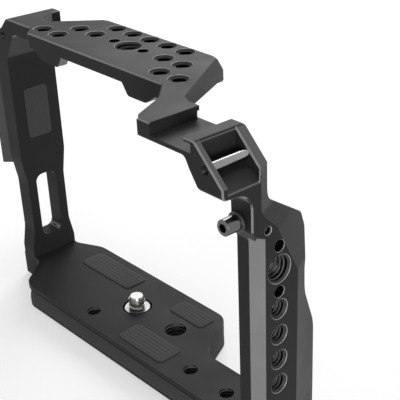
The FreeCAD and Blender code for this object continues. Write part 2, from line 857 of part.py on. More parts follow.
def base_cuts():
    cuts = dovetail_grooves()
    head_room = screw_head_height + screw_sink + clip_sink
    cuts.append(cylinder(screw_head_r + head_gap, head_room + 1.0, (0, 0, -1.0), (0, 0, 1)))
    cuts.append(cylinder(screw_thread_r + screw_side_gap, base_thickness + 2.0, (0, 0, -1.0), (0, 0, 1)))
    cuts.append(cylinder(recess_r, base_thickness, (0, 0, screw_web_top), (0, 0, 1)))
    cuts.append(driver_pocket())
    cuts += tool_magnets()
    cuts += list(base_pads().values())
    depth = base_thickness + 1.0
    for x, y in base_large_threads:
        cuts.append(rimmed_hole(three_eighth_r, three_eighth_rim_r, depth, (x, y, 0), (0, 0, 1)))
    for x, y in base_small_threads:
        cuts.append(rimmed_hole(quarter_r, quarter_rim_r, depth, (x, y, 0), (0, 0, 1)))
    for x, y in joint_places():
        cuts.append(cylinder(joint_screw_r, base_thickness + 2.0, (x, y, -1.0), (0, 0, 1)))
        cuts.append(joint_head(x, y, 1.0))
    for x, y in dowel_places():
        cuts.append(cylinder(dowel_r, dowel_length, (x, y, base_thickness - dowel_length / 2.0), (0, 0, 1)))
    return cuts


def joint_head(x, y, lead):
    """Countersunk head of a joint screw; a lead makes it a cutter that opens the base."""
    head = cone(joint_head_r, joint_screw_r, joint_head_height, (x, y, joint_sink), (0, 0, 1))
    if lead > 0:
        head = head.fuse(cylinder(joint_head_r, joint_sink + lead, (x, y, -lead), (0, 0, 1)))
    return head


def base_plate():
    """Base with the camera seat, the dovetail and the tripod threads."""
    body = prism(base_outline(), on_xy(0), (0, 0, base_thickness))
    body = broken_edges(body, edge_break, lambda e: all(abs(v.Point.z) < 1e-6 for v in e.Vertexes))
    for cutter in base_cuts():
        body = body.cut(cutter)
    return body


def hex_recess(radius, depth, start, along, place):
    """Six-sided socket cutter, radius to the corners."""
    turns = [math.radians(60 * i + 30) for i in range(6)]
    corners = [(place[0] + radius * math.cos(t), place[1] + radius * math.sin(t)) for t in turns]
    return prism(corners, start, tuple(depth * d for d in along))


def joint_screws(side):
    """The two countersunk screws that hold one column to the base."""
    screws = []
    neck_z = joint_sink + joint_head_height
    for x, y in [place for place in joint_places() if place[0] * side > 0]:
        shank = cylinder(joint_screw_r, joint_screw_length - neck_z, (x, y, neck_z), (0, 0, 1))
        screw = joint_head(x, y, 0).fuse(shank).removeSplitter()
        socket = hex_recess(joint_socket_r, joint_socket_depth, on_xy(joint_sink), (0, 0, 1), (x, y))
        screws.append(screw.cut(socket))
    return Part.makeCompound(screws)


def base_dowels():
    z = base_thickness - dowel_length / 2.0
    dowels = [cylinder(dowel_r, dowel_length, (x, y, z), (0, 0, 1)) for x, y in dowel_places()]
    return Part.makeCompound(dowels)


def strap_pin(side):
    x = right_pin_x if side > 0 else left_pin_x
    start_y = (rear_y if side > 0 else left_rear_y) + strap_pin_sink
    length = strap_pin_length(side) - strap_pin_sink
    return cylinder(strap_pin_r, length, (x, start_y, strap_pin_z), (0, 1, 0))


def rail_section():
    """Section of the accessory rail, as (y, x) with x outwards from the column."""
    half_neck = rail_neck_width / 2.0
    half = rail_width / 2.0
    flare = half - half_neck
    half_top = half - rail_top_bevel
    flat_end = rail_height - rail_top_bevel
    rise = rail_neck_height + flare
    return [(half_neck, 0),
            (half_neck, rail_neck_height),
            (half, rise),
            (half, flat_end),
            (half_top, rail_height),
            (-half_top, rail_height),
            (-half, flat_end),
            (-half, rise),
            (-half_neck, rail_neck_height),
            (-half_neck, 0)]


def rail_stop_places():
    top = rail_bottom + rail_length
    return [(left_middle_y, rail_bottom + rail_stop_inset), (left_middle_y, top - rail_stop_inset)]


def rail_screw_head(y, z, lead):
    """Countersunk head of a rail screw; a lead makes it a cutter that opens the rail."""
    head_x = rail_outer_x + rail_sink
    head = cone(rail_head_r, rail_screw_r, rail_head_height, (head_x, y, z), (1, 0, 0))
    if lead > 0:
        start = (rail_outer_x - lead, y, z)
        head = head.fuse(cylinder(rail_head_r, rail_sink + lead, start, (1, 0, 0)))
    return head


def accessory_rail():
    """Dovetail rail for a side handle, screwed to the left column."""
    corners = [(left_face_x - out, left_middle_y + side) for side, out in rail_section()]
    body = prism(corners, on_xy(rail_bottom), (0, 0, rail_length))
    for y, z in rail_screw_places():
        start = (rail_outer_x - 1.0, y, z)
        body = body.cut(cylinder(rail_screw_r, rail_height + 2.0, start, (1, 0, 0)))
        body = body.cut(rail_screw_head(y, z, 1.0))
    for y, z in rail_stop_places():
        bite = rail_stop_length - rail_stop_head_height
        body = body.cut(cylinder(rail_stop_r, bite, (rail_outer_x, y, z), (1, 0, 0)))
    slot_low = rail_bottom + (rail_length - rail_slot_width) / 2.0
    slot = box((rail_outer_x - 1.0, left_middle_y - rail_width, slot_low),
               (rail_outer_x + rail_slot_depth, left_middle_y + rail_width, slot_low + rail_slot_width))
    return body.cut(slot)


def rail_screws():
    screws = []
    face = rail_outer_x + rail_sink
    for y, z in rail_screw_places():
        start = (face + rail_head_height, y, z)
        shank = cylinder(rail_screw_r, rail_screw_length - rail_head_height, start, (1, 0, 0))
        screw = rail_screw_head(y, z, 0).fuse(shank).removeSplitter()
        socket = hex_recess(rail_socket_r, rail_socket_depth, on_yz(face), (1, 0, 0), (y, z))
        screws.append(screw.cut(socket))
    return Part.makeCompound(screws)


def rail_stops():
    """Small screws whose heads stop a handle from sliding off the rail."""
    screws = []
    face = rail_outer_x - rail_stop_head_height
    bite = rail_stop_length - rail_stop_head_height
    for y, z in rail_stop_places():
        head = cylinder(rail_stop_head_r, rail_stop_head_height, (face, y, z), (1, 0, 0))
        shank = cylinder(rail_stop_r, bite, (rail_outer_x, y, z), (1, 0, 0))
        socket = hex_recess(rail_socket_r, rail_socket_depth, on_yz(face), (1, 0, 0), (y, z))
        screws.append(head.fuse(shank).removeSplitter().cut(socket))
    return Part.makeCompound(screws)


def camera_screw():
    """1/4 inch screw with a coin slot, held captive by the clip in its waist."""
    head_top = screw_sink + screw_head_height
    waist_top = clip_z + clip_thickness
    tip = base_thickness + screw_reach
    start = tip - screw_lead
    head = cylinder(screw_head_r, screw_head_height, (0, 0, screw_sink), (0, 0, 1))
    head = broken_edges(head, edge_break, lambda e: len(e.Vertexes) == 1)
    waist = cylinder(screw_neck_r, waist_top - head_top, (0, 0, head_top), (0, 0, 1))
    thread = cylinder(screw_thread_r, start - waist_top, (0, 0, waist_top), (0, 0, 1))
    point = cone(screw_thread_r, screw_thread_r - screw_lead, screw_lead, (0, 0, start), (0, 0, 1))
    half = coin_slot_width / 2.0
    slot = box((-screw_head_r - 1.0, -half, -1.0), (screw_head_r + 1.0, half, screw_sink + coin_slot_depth))
    return fused([head, waist, thread, point]).cut(slot)


def camera_screw_clip():
    """Retaining ring in the recess of the seat; it lifts and turns with the screw."""
    ring = cylinder(clip_r, clip_thickness - clip_gap, (0, 0, clip_z), (0, 0, 1))
    bore = cylinder(screw_neck_r + running_gap, clip_thickness + 2.0, (0, 0, clip_z - 1.0), (0, 0, 1))
    return ring.cut(bore)


def lug_screw():
    """Socket screw whose plain head passes through the camera's strap lug."""
    head_start = lug_wall_start - lug_washer_thickness - lug_head_length
    head = cylinder(lug_head_r, lug_head_length, (lug_x, head_start, lug_z), (0, 1, 0))
    head = broken_edges(head, lug_head_bevel, lambda e: len(e.Vertexes) == 1)
    shank_length = lug_washer_thickness + lug_stand_off + lug_thread_length
    shank_start = (lug_x, head_start + lug_head_length, lug_z)
    shank = cylinder(lug_thread_r, shank_length, shank_start, (0, 1, 0))
    socket = hex_recess(lug_socket_r, lug_socket_depth, on_xz(head_start), (0, 1, 0), (lug_x, lug_z))
    return head.fuse(shank).removeSplitter().cut(socket)


def lug_washer():
    start = lug_wall_start - lug_washer_thickness + running_gap
    ring = cylinder(lug_washer_r, lug_washer_thickness, (lug_x, start, lug_z), (0, 1, 0))
    bore = cylinder(lug_thread_r + running_gap, 3.0, (lug_x, start - 1.0, lug_z), (0, 1, 0))
    return ring.cut(bore)


def slot_driver():
    """Flat driver for the camera screw, kept in the underside by magnets."""
    x, y = driver_centre
    end = x + driver_length / 2.0
    start = x - driver_length / 2.0
    half_w = driver_width / 2.0
    blade_w = half_w - 0.6
    corners = [(start, y - half_w, 1.0),
               (end - driver_tip, y - half_w, 1.5),
               (end, y - blade_w),
               (end, y + blade_w),
               (end - driver_tip, y + half_w, 1.5),
               (start, y + half_w, 1.0)]
    body = prism(corners, on_xy(driver_sink), (0, 0, driver_thickness))
    thin = (driver_thickness - driver_blade) / 2.0 * (driver_tip + 1.0) / driver_tip
    for z, away in ((driver_sink, -1), (driver_sink + driver_thickness, 1)):
        wedge = [(end + 1.0, z + away),
                 (end + 1.0, z - away * thin),
                 (end - driver_tip, z),
                 (end - driver_tip, z + away)]
        body = body.cut(prism(wedge, on_xz(y - driver_width), (0, 2 * driver_width, 0)))
    eye = (start + driver_eye_inset, y, driver_sink - 1.0)
    return body.cut(cylinder(driver_eye_r, driver_thickness + 2.0, eye, (0, 0, 1)))


def export(name, shape):
    shape.exportStep("parts/" + name + ".step")


def main():
    os.makedirs("parts", exist_ok=True)
    pieces = {"main_frame": main_frame(),
              "base_plate": base_plate(),
              "joint_screws_right": joint_screws(1),
              "joint_screws_left": joint_screws(-1),
              "base_dowels": base_dowels(),
              "strap_pin_right": strap_pin(1),
              "strap_pin_left": strap_pin(-1),
              "accessory_rail": accessory_rail(),
              "rail_screws": rail_screws(),
              "rail_stops": rail_stops(),
              "side_pad_right": right_pad(),
              "side_pad_left": left_pad(),
              "tool_magnets": Part.makeCompound(tool_magnets()),
              "camera_screw": camera_screw(),
              "camera_screw_clip": camera_screw_clip(),
              "lug_screw": lug_screw(),
              "lug_washer": lug_washer(),
              "slot_driver": slot_driver()}
    pieces.update(base_pads())
    for name, shape in pieces.items():
        print(name, "solids", len(shape.Solids), "valid", shape.isValid(), "volume", round(shape.Volume, 1))
        export(name, shape)


main()
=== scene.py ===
import json
import math

import bmesh
import bpy
from mathutils import Matrix, Vector
from mathutils.bvhtree import BVHTree


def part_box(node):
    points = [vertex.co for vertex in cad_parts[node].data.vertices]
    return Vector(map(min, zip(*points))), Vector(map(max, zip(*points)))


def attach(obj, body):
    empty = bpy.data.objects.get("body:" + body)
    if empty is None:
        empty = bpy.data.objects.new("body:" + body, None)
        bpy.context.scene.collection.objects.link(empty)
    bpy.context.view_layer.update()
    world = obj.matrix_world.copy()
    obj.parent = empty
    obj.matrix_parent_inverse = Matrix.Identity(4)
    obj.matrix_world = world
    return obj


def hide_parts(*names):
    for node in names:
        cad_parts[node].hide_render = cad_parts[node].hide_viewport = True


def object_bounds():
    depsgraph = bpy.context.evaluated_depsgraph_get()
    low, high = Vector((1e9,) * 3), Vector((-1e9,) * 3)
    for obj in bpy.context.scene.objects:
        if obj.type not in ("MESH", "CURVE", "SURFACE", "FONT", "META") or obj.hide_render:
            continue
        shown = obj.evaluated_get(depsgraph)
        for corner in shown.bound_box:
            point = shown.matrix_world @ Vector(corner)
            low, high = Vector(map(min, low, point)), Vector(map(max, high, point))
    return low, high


bl_info = {
    "name": "Camera cage",
    "version": (1, 0, 0),
    "blender": (4, 5, 0),
    "location": "3D View > Sidebar > Cage",
    "description": "Dresses the camera cage with threads, sockets and anodised finishes",
    "category": "Object",
}

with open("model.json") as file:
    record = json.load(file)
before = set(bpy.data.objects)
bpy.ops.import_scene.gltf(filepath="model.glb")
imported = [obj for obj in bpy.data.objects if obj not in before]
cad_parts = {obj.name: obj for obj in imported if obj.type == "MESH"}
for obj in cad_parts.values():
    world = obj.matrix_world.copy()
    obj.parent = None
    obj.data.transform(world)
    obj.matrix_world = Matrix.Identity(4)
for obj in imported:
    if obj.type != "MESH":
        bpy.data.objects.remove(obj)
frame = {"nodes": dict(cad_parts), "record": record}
cad_box = [list(corner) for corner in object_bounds()]

MM = 0.001
UP = Vector((0, 0, 1))

# Specular levels: anodised faces, the painted shade inside the holes, the pads, and all the rest
ANODISE_GLOSS = 0.07
BORE_GLOSS = 0.05
SILICONE_GLOSS = 0.35
PLAIN_GLOSS = 0.5

# A noise texture has nearly all of its values between these
NOISE_MIDDLE = (0.3, 0.7)
BLASTED_ROUGHNESS = (0.40, 0.52)
TURNED_SHADE = (0.85, 1.08)

# A highlight is painted on facets by their direction. Facets are told apart by the parts of their
# normal, without sign: the largest part falls from a square face to a bevel, the smallest rises on
# a corner facet, Y falls on a strap slope
BEVEL_PART = (0.95, 0.78)
CORNER_PART = (0.1, 0.22)
SLOPE_PART = (0.3, 0.1)
# How much weaker the painted bevel highlight is on corner facets and on strap slopes
CORNER_DULLING = 0.9
SLOPE_DULLING = 0.6

# The strap blocks lie where |x| and z are larger than these, metres
STRAP_BLOCK_X = 0.053
STRAP_BLOCK_Z = 0.094
MOUNTS = {mount["name"]: mount for mount in frame["record"]["mounts"]}

# Tapped and plain holes: bore and rim radius in millimetres, and the mounts that place them
HOLES = {
    "quarter": (2.55, 3.5, (
        "top_front_middle", "top_front_pair", "top_inner_grid", "top_outer_grid", "top_rear_pair",
        "side_outer_pair", "side_inner_pair", "base_rear_thread", "base_grip_pair")),
    "large": (4.0, 4.78, ("top_three_eighths", "side_three_eighths", "base_three_eighths")),
    "fine": (1.05, 1.5, ("cable_clamp_thread",)),
    "locating": (1.86, 2.1, ("top_locating", "side_locating")),
}
# Depth of the turns in each face's holes, and of the plain stretch before them, millimetres
THREAD_LENGTHS = {"top": 3.1, "side": 7.0, "base": 8.2}
THREAD_INSET = 1.15

# Silicone pads: outward side and the direction that their ribs run
PAD_SIDES = {
    "base_pad_left": ((0, 0, 1), (1, 0, 0)),
    "base_pad_rear": ((0, 0, 1), (1, 0, 0)),
    "base_pad_front": ((0, 0, 1), (1, 0, 0)),
    "side_pad_right": ((-1, 0, 0), (0, 0, 1)),
    "side_pad_left": ((1, 0, 0), (0, 0, 1)),
}

# The photograph's view, in the 400 x 400 frame
PHOTO_PIXELS = 400
FOCAL_PIXELS = 964.5
VIEW_AZIMUTH = 44.63
VIEW_PITCH = 29.21
EYE_MM = (250.2, -179.9, 207.9)
CENTRE_PIXEL = (275.2, 240.9)


class CageFinish(bpy.types.PropertyGroup):
    """Colours of the anodised, plated and moulded surfaces, and of the highlight painted on the
    bevels.
    """

    anodise: bpy.props.FloatVectorProperty(
        name="Anodise", description="Colour of the anodised frame", subtype="COLOR",
        size=3, min=0, max=1, default=(0.02, 0.02, 0.0205))
    # A painted highlight colour, put on bevels, thread turns and hole edges
    painted_highlight: bpy.props.FloatVectorProperty(
        name="Painted highlight", description="Colour of the highlight painted on the bevels", subtype="COLOR",
        size=3, min=0, max=1, default=(0.2, 0.2, 0.203))
    steel: bpy.props.FloatVectorProperty(
        name="Steel", description="Colour of the bright steel", subtype="COLOR",
        size=3, min=0, max=1, default=(0.62, 0.61, 0.6))
    rubber: bpy.props.FloatVectorProperty(
        name="Silicone", description="Colour of the pads", subtype="COLOR",
        size=3, min=0, max=1, default=(0.022, 0.022, 0.023))


class CageThreads(bpy.types.PropertyGroup):
    """Sizes of the screw threads."""

    quarter_pitch: bpy.props.FloatProperty(
        name="Quarter inch pitch", description="Distance between turns of the 1/4 inch threads",
        subtype="DISTANCE", unit="LENGTH", default=1.27 * MM)
    large_pitch: bpy.props.FloatProperty(
        name="Large pitch", description="Distance between turns of the 3/8 inch threads",
        subtype="DISTANCE", unit="LENGTH", default=1.5875 * MM)
    fine_pitch: bpy.props.FloatProperty(
        name="Fine pitch", description="Distance between turns of the small clamp thread",
        subtype="DISTANCE", unit="LENGTH", default=0.45 * MM)
    ridge: bpy.props.FloatProperty(
        name="Ridge", description="Height of a thread ridge in a tapped hole",
        subtype="DISTANCE", unit="LENGTH", default=0.42 * MM)


class CageStage(bpy.types.PropertyGroup):
    """Floor and lamps."""

    floor_colour: bpy.props.FloatVectorProperty(
        name="Floor", description="Colour of the floor", subtype="COLOR",
        size=3, min=0, max=1, default=(0.5, 0.5, 0.5))
    key_power: bpy.props.FloatProperty(
        name="Key lamp", description="Power of the key lamp",
        subtype="POWER", unit="POWER", default=3.0)
    side_power: bpy.props.FloatProperty(
        name="Side lamp", description="Power of the side lamp",
        subtype="POWER", unit="POWER", default=7.0)
    fill_power: bpy.props.FloatProperty(
        name="Fill lamp", description="Power of the fill lamp",
        subtype="POWER", unit="POWER", default=5.0)


# Node helpers

def feed(tree, value, socket):
    """Links an output to the socket, or sets a plain value on it."""
    if isinstance(value, bpy.types.NodeSocket):
        tree.links.new(value, socket)
    else:
        socket.default_value = value


def add_node(tree, kind, place, inputs=None, **settings):
    """Adds a node with its settings, then feeds its inputs from outputs or plain values."""
    node = tree.nodes.new(kind)
    node.location = place
    for name, value in settings.items():
        setattr(node, name, value)
    for label, value in (inputs or {}).items():
        feed(tree, value, node.inputs[label])
    return node


def maths(tree, operation, first, second, place):
    """Result of one operation on two outputs or numbers."""
    values = {0: first, 1: second}
    return add_node(tree, "ShaderNodeMath", place, values, operation=operation).outputs[0]


def mapped(tree, value, source, target, place, steps="LINEAR"):
    """Carries a value from one (low, high) range over to another and keeps it inside."""
    node = add_node(tree, "ShaderNodeMapRange", place, {
        "Value": value, "From Min": source[0], "From Max": source[1],
        "To Min": target[0], "To Max": target[1]}, interpolation_type=steps)
    return node.outputs["Result"]


def noise(tree, vector, scale, detail, place):
    inputs = {"Vector": vector, "Scale": scale, "Detail": detail}
    return add_node(tree, "ShaderNodeTexNoise", place, inputs).outputs["Fac"]


def object_place(tree, place):
    return add_node(tree, "ShaderNodeTexCoord", place).outputs["Object"]


def parts_without_sign(tree, vector, place):
    """X, Y and Z of a vector as positive numbers."""
    x, y = place
    size = add_node(tree, "ShaderNodeVectorMath", place, {0: vector}, operation="ABSOLUTE")
    return add_node(tree, "ShaderNodeSeparateXYZ", (x + 180, y), {0: size.outputs[0]}).outputs


# Finishes

def bevel_highlight_mask(tree, place):
    """Where the bevel highlight is painted: 1 on facets that lie at 45 degrees to the object's
    axes, 0 on its square faces.
    """
    x, y = place
    facing = add_node(tree, "ShaderNodeNewGeometry", place).outputs["True Normal"]
    parts = parts_without_sign(tree, facing, (x + 180, y))
    first = maths(tree, "MAXIMUM", parts["X"], parts["Y"], (x + 540, y))
    largest = maths(tree, "MAXIMUM", first, parts["Z"], (x + 720, y))
    bevel = mapped(tree, largest, BEVEL_PART, (0.0, 1.0), (x + 900, y), "SMOOTHSTEP")
    dulled = broad_facets(tree, parts, (x, y - 300))
    return maths(tree, "MULTIPLY", bevel, dulled, (x + 1080, y))


def beyond(tree, value, limit, place):
    """1 where the value is above the limit, with a soft step of half a millimetre."""
    return mapped(tree, value, (limit - 0.5 * MM, limit), (0.0, 1.0), place)


def strap_block_mask(tree, place):
    """1 on the two strap blocks, at the ends of the top."""
    x, y = place
    reach = parts_without_sign(tree, object_place(tree, place), (x + 180, y))
    outside = beyond(tree, reach["X"], STRAP_BLOCK_X, (x + 540, y))
    above = beyond(tree, reach["Z"], STRAP_BLOCK_Z, (x + 540, y - 200))
    return maths(tree, "MULTIPLY", outside, above, (x + 720, y))


def broad_facets(tree, parts, place):
    """Below 1 on broad facets, where the highlight is painted weaker than on the narrow bevels.

    These are the slopes over the strap pins, and elsewhere whatever leans along all three axes.
    """
    x, y = place
    block = strap_block_mask(tree, place)
    slope = mapped(tree, parts["Y"], SLOPE_PART, (0.0, SLOPE_DULLING), (x + 540, y - 400))
    first = maths(tree, "MINIMUM", parts["X"], parts["Y"], (x + 540, y - 600))
    smallest = maths(tree, "MINIMUM", first, parts["Z"], (x + 720, y - 600))
    corner = mapped(tree, smallest, CORNER_PART, (0.0, CORNER_DULLING), (x + 900, y - 600))
    loss = add_node(tree, "ShaderNodeMix", (x + 1080, y), {
        "Factor": block, 2: corner, 3: slope}, data_type="FLOAT")
    return maths(tree, "SUBTRACT", 1.0, loss.outputs[0], (x + 1260, y))


def effect_group(name, inputs):
    """Shader group that gives a surface; returns it with its given values and its end."""
    group = bpy.data.node_groups.new(name, "ShaderNodeTree")
    for label, default in inputs.items():
        kind = "NodeSocketColor" if isinstance(default, tuple) else "NodeSocketFloat"
        socket = group.interface.new_socket(label, in_out="INPUT", socket_type=kind)
        socket.default_value = default
    for label, kind in (("Colour", "NodeSocketColor"), ("Roughness", "NodeSocketFloat"),
                        ("Normal", "NodeSocketVector")):
        group.interface.new_socket(label, in_out="OUTPUT", socket_type=kind)
    start = add_node(group, "NodeGroupInput", (-900, 0))
    end = add_node(group, "NodeGroupOutput", (700, 0))
    return group, start.outputs, end


def end_group(group, end, colour, shade, roughness, bump):
    """Ends a group with its shaded colour, its roughness and the normal of its bump."""
    tint = add_node(group, "ShaderNodeVectorMath", (350, 100), {
        0: colour, "Scale": shade}, operation="SCALE")
    relief = add_node(group, "ShaderNodeBump", (400, -250), bump)
    feed(group, tint.outputs[0], end.inputs["Colour"])
    feed(group, roughness, end.inputs["Roughness"])
    feed(group, relief.outputs["Normal"], end.inputs["Normal"])


def grain_and_highlight_group():
    """Bead-blasted grain: mottled colour, uneven roughness and a fine bump, and a highlight
    painted on the 45 degree facets.
    """
    grey = (0.1, 0.1, 0.1, 1.0)
    group, given, end = effect_group("blasted grain", {
        "Colour": grey, "Facet colour": grey, "Facets": 0.0,
        "Grain": 9000.0, "Mottle": 0.12, "Depth": 0.01 * MM})
    where = object_place(group, (-900, -300))
    grain = noise(group, where, given["Grain"], 2.0, (-600, 200))
    cloud = noise(group, where, 60.0, 3.0, (-600, -100))
    level = mapped(group, cloud, NOISE_MIDDLE, (-1.0, 1.0), (-400, -100))
    speck = mapped(group, grain, NOISE_MIDDLE, (-1.0, 1.0), (-400, 200))
    both = maths(group, "ADD", level, speck, (-200, 50))
    amount = add_node(group, "ShaderNodeMath", (-50, 50), {
        0: both, 1: given["Mottle"], 2: 1.0}, operation="MULTIPLY_ADD")
    # The lighter colour on 45 degree facets is a painted highlight
    mask = bevel_highlight_mask(group, (-900, 500))
    facets = maths(group, "MULTIPLY", mask, given["Facets"], (100, 400))
    colour = add_node(group, "ShaderNodeMix", (200, 250), {
        "Factor": facets, 6: given["Colour"], 7: given["Facet colour"]}, data_type="RGBA")
    rough = mapped(group, cloud, NOISE_MIDDLE, BLASTED_ROUGHNESS, (150, -100))
    bump = {"Strength": 0.35, "Distance": given["Depth"], "Height": grain}
    end_group(group, end, colour.outputs[2], amount.outputs[0], rough, bump)
    return group


def turned_group():
    """Fine lathe or brush lines: streaked roughness and a shallow bump."""
    group, given, end = effect_group("turned lines", {
        "Colour": (0.6, 0.6, 0.6, 1.0), "Lines": 4000.0, "Low": 0.18, "High": 0.34})
    where = object_place(group, (-900, -300))
    streak = noise(group, where, given["Lines"], 1.0, (-600, 100))
    wide = noise(group, where, 150.0, 2.0, (-600, -200))
    shade = mapped(group, wide, NOISE_MIDDLE, TURNED_SHADE, (-350, -200))
    rough = mapped(group, streak, NOISE_MIDDLE, (given["Low"], given["High"]), (0, -100))
    bump = {"Strength": 0.12, "Distance": 0.01 * MM, "Height": streak}
    end_group(group, end, given["Colour"], shade, rough, bump)
    return group


def finish_material(name, group, colour, settings, metallic=0.0, gloss=PLAIN_GLOSS):
    """Principled material fed by one effect group; constants sit on the shader's sockets."""
    material = bpy.data.materials.new(name)
    material.use_nodes = True
    tree = material.node_tree
    surface = tree.nodes["Principled BSDF"].inputs
    surface["Metallic"].default_value = metallic
    surface["Specular IOR Level"].default_value = gloss
    effect = add_node(tree, "ShaderNodeGroup", (-400, 0), node_tree=group)
    for label, value in {"Colour": (*colour, 1.0), **settings}.items():
        effect.inputs[label].default_value = value
    feed(tree, effect.outputs["Colour"], surface["Base Color"])
    feed(tree, effect.outputs["Roughness"], surface["Roughness"])
    feed(tree, effect.outputs["Normal"], surface["Normal"])
    return material


def shaded(colour, share):
    return [part * share for part in colour]


def give(node, material):
    """Puts one material on every slot of a CAD node."""
    mesh = frame["nodes"][node].data
    if not mesh.materials:
        mesh.materials.append(material)
    for index in range(len(mesh.materials)):
        mesh.materials[index] = material


# Geometry Nodes trees

def geometry_tree(name, sizes=(), counts=()):
    """Geometry Nodes tree with named inputs; returns it with its given values and its end."""
    tree = bpy.data.node_groups.new(name, "GeometryNodeTree")
    sockets = [("Geometry", "NodeSocketGeometry")]
    sockets += [(label, "NodeSocketFloat") for label in sizes]
    sockets += [(label, "NodeSocketInt") for label in counts]
    for label, kind in sockets:
        tree.interface.new_socket(label, in_out="INPUT", socket_type=kind)
    tree.interface.new_socket("Geometry", in_out="OUTPUT", socket_type="NodeSocketGeometry")
    start = add_node(tree, "NodeGroupInput", (-1200, 0))
    end = add_node(tree, "NodeGroupOutput", (900, 0))
    return tree, start.outputs, end


def finish_tree(tree, instances, end, material):
    """Ends a tree: real geometry with its material."""
    real = add_node(tree, "GeometryNodeRealizeInstances", (400, 0), {"Geometry": instances})
    coat = add_node(tree, "GeometryNodeSetMaterial", (600, 0), {
        "Material": material, "Geometry": real.outputs["Geometry"]})
    feed(tree, coat.outputs["Geometry"], end.inputs["Geometry"])


def carried(tree, name, place):
    """Vector that the points carry under a name."""
    return add_node(tree, "GeometryNodeInputNamedAttribute", place, {
        "Name": name}, data_type="FLOAT_VECTOR").outputs["Attribute"]


def copies_on_points(tree, points, piece, end, material, **more):
    """Ends a tree with a copy of the piece at every point, turned by the point's "aim"."""
    aim = carried(tree, "aim", (-400, -300))
    turn = add_node(tree, "FunctionNodeEulerToRotation", (-200, -300), {0: aim})
    copies = add_node(tree, "GeometryNodeInstanceOnPoints", (0, 0), {
        "Points": points, "Instance": piece, "Rotation": turn.outputs[0], **more})
    finish_tree(tree, copies.outputs["Instances"], end, material)


def thread_tree(material):
    """A helical ridge on a bore or a shank, at every point of the base mesh."""
    tree, given, end = geometry_tree(
        "thread ridges", ("Radius", "Pitch", "Length", "Ridge"), ("Steps per turn",))
    turns = maths(tree, "DIVIDE", given["Length"], given["Pitch"], (-1000, 300))
    spiral = add_node(tree, "GeometryNodeCurveSpiral", (-700, 300), {
        "Resolution": given["Steps per turn"], "Rotations": turns, "Height": given["Length"],
        "Start Radius": given["Radius"], "End Radius": given["Radius"]})
    section = add_node(tree, "GeometryNodeCurvePrimitiveCircle", (-700, 0), {
        "Resolution": 4, "Radius": given["Ridge"]})
    sweep = add_node(tree, "GeometryNodeCurveToMesh", (-400, 200), {
        "Curve": spiral.outputs["Curve"], "Profile Curve": section.outputs["Curve"],
        "Fill Caps": True})
    flat = add_node(tree, "GeometryNodeSetShadeSmooth", (-200, 200), {
        "Geometry": sweep.outputs["Mesh"], "Shade Smooth": False})
    copies_on_points(tree, given["Geometry"], flat.outputs["Geometry"], end, material)
    return tree


def rim_rib_tree(material):
    """Grip ribs round the rim of a round head, each leaning with its height over the centre."""
    tree, given, end = geometry_tree(
        "rim ribs", ("Radius", "Rib width", "Rib height", "Level"), ("Ribs",))
    ring = add_node(tree, "GeometryNodeMeshCircle", (-900, 200), {
        "Vertices": given["Ribs"], "Radius": given["Radius"]})
    lift = add_node(tree, "ShaderNodeCombineXYZ", (-900, 0), {"Z": given["Level"]})
    raised = add_node(tree, "GeometryNodeSetPosition", (-600, 200), {
        "Geometry": ring.outputs["Mesh"], "Offset": lift.outputs[0]})
    size = add_node(tree, "ShaderNodeCombineXYZ", (-900, -200), {
        "X": given["Rib width"], "Y": given["Rib width"], "Z": given["Rib height"]})
    rib = add_node(tree, "GeometryNodeMeshCube", (-600, -200), {"Size": size.outputs[0]})
    edge_on = add_node(tree, "FunctionNodeEulerToRotation", (-600, -400), {
        0: (0, 0, math.radians(45))})
    here = add_node(tree, "GeometryNodeInputPosition", (-600, -600)).outputs[0]
    outward = add_node(tree, "FunctionNodeAlignRotationToVector", (-400, -300), {
        "Vector": here}, axis="X")
    turn = add_node(tree, "FunctionNodeRotateRotation", (-200, -300), {
        0: outward.outputs[0], 1: edge_on.outputs[0]}, rotation_space="LOCAL")
    copies = add_node(tree, "GeometryNodeInstanceOnPoints", (0, 0), {
        "Points": raised.outputs["Geometry"], "Instance": rib.outputs["Mesh"],
        "Rotation": turn.outputs[0]})
    finish_tree(tree, copies.outputs["Instances"], end, material)
    return tree


def pad_rib_tree(material):
    """Flat half-round ribs, each as long as the "reach" that its point carries."""
    tree, given, end = geometry_tree("pad ribs", ("Rib width", "Rib height"))
    bar = add_node(tree, "GeometryNodeMeshCylinder", (-900, 0), {
        "Vertices": 12, "Radius": 0.5, "Depth": 1.0})
    double = maths(tree, "MULTIPLY", given["Rib height"], 2.0, (-900, -250))
    size = add_node(tree, "ShaderNodeCombineXYZ", (-700, -200), {
        "X": double, "Y": given["Rib width"], "Z": 1.0})
    flat = add_node(tree, "GeometryNodeTransform", (-500, 0), {
        "Geometry": bar.outputs["Mesh"], "Scale": size.outputs[0]})
    reach = carried(tree, "reach", (-500, -500))
    copies_on_points(tree, given["Geometry"], flat.outputs["Geometry"], end, material, Scale=reach)
    return tree


def template_tree(template, material):
    """A copy of one object at every point of the base mesh."""
    tree, given, end = geometry_tree("copies on points")
    source = add_node(tree, "GeometryNodeObjectInfo", (-600, -100), {"Object": template})
    copies_on_points(tree, given["Geometry"], source.outputs["Geometry"], end, material)
    return tree


# Mesh helpers

def plain_mesh(name, vertices, faces=()):
    mesh = bpy.data.meshes.new(name)
    mesh.from_pydata(vertices, [], faces)
    return mesh


def in_scene(name, data):
    """Object in the scene's own collection."""
    thing = bpy.data.objects.new(name, data)
    bpy.context.scene.collection.objects.link(thing)
    return thing


def keep_sharp(mesh, degrees):
    """Shades a mesh smooth, except at edges that turn by more than the angle."""
    mesh.shade_smooth()
    mesh.set_sharp_from_angle(angle=math.radians(degrees))


